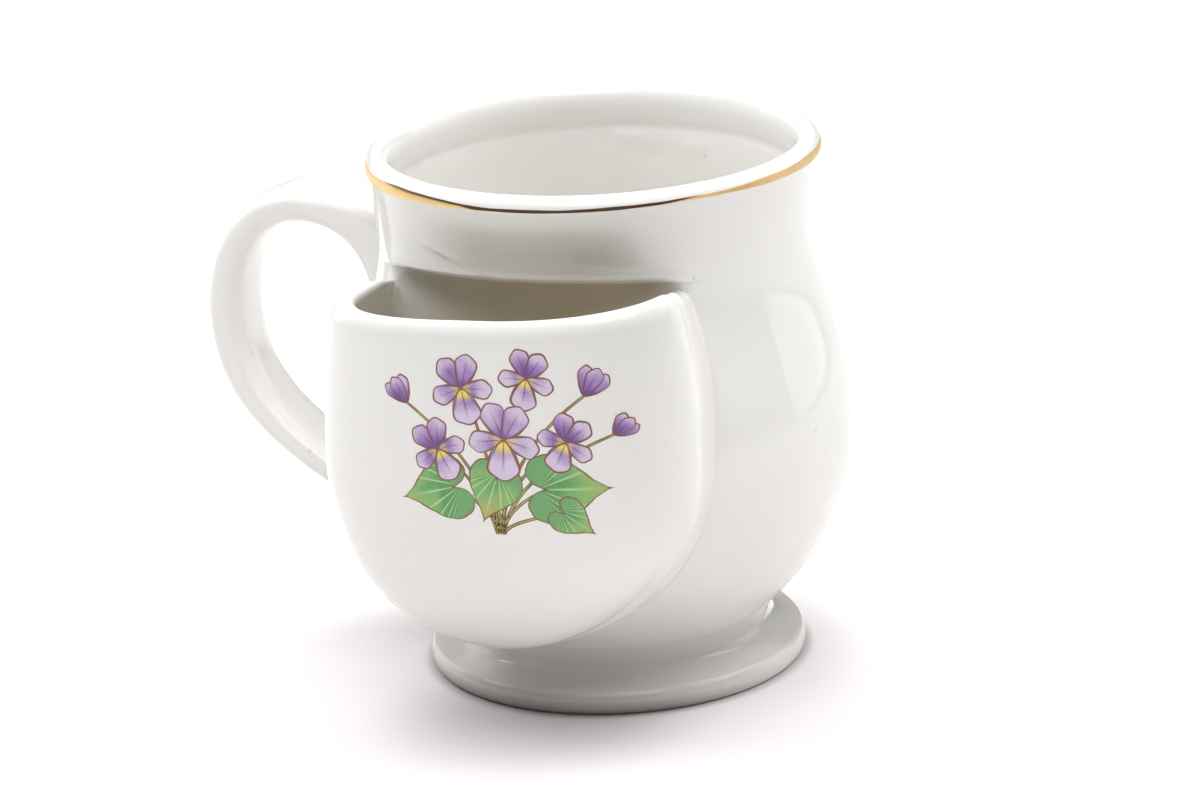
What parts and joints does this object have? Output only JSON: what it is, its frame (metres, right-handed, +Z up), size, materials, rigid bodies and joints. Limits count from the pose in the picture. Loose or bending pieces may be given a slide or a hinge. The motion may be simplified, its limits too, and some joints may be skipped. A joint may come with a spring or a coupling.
{
  "type": "shaving scuttle",
  "caption": "Bellied white porcelain cup on a flared foot, with a brush pocket in front, a strap handle at one side and a gilt line under the rolled lip; holds lather and a shaving brush.",
  "frame": {"origin": "middle of the footprint, on the surface that the foot stands on", "axes": "+Z up along the cup's axis, which is beside the origin; the brush pocket faces -Y and the handle points to -X"},
  "size_m": [0.1254, 0.1052, 0.0988],
  "materials": {
    "glazed_porcelain": "clear gloss glaze",
    "fired_slip": "clear gloss glaze",
    "fired_gilt": null
  },
  "bodies": {
    "root": {"cup_body": "glazed_porcelain", "pedestal_foot": "glazed_porcelain", "brush_pocket": "glazed_porcelain", "handle": "glazed_porcelain", "foot_slip_ring": "fired_slip", "pocket_slip_seam": "fired_slip", "handle_root_slip": "fired_slip", "handle_heel_slip": "fired_slip", "rim_gilt_line": "fired_gilt"}
  },
  "joints": []
}
